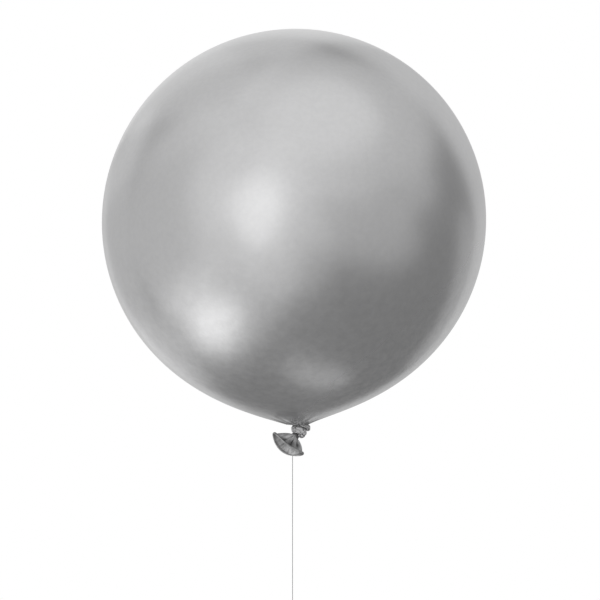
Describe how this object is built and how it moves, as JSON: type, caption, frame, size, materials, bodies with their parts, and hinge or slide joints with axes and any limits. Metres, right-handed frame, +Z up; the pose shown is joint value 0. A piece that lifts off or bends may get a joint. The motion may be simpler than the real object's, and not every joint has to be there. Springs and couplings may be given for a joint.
{
  "type": "round latex balloon with a string",
  "caption": "Round inflated latex balloon, tied in a knot at its flared neck, with a thin string hanging from the neck and its spare length in a tied hank.",
  "frame": {"origin": "centre of the round envelope, where the air's lift acts", "axes": "+Z up, away from the neck; +X to the right in the front view; +Y away from the viewer"},
  "size_m": [0.5989, 0.5988, 0.9564],
  "materials": {
    "silver_latex": "satin metallic silver latex, stretched smooth",
    "neck_latex": "satin metallic silver latex, unstretched and so darker",
    "grey_cord": "matt twisted thread"
  },
  "bodies": {
    "root": {"envelope": "silver_latex", "neck_knot": "neck_latex", "neck_tail": "neck_latex", "mouth_bead": "neck_latex", "string_loop": "grey_cord", "string_knot": "grey_cord", "string": "grey_cord", "string_hank": "grey_cord", "hank_tie": "grey_cord", "string_end": "grey_cord"}
  },
  "joints": []
}
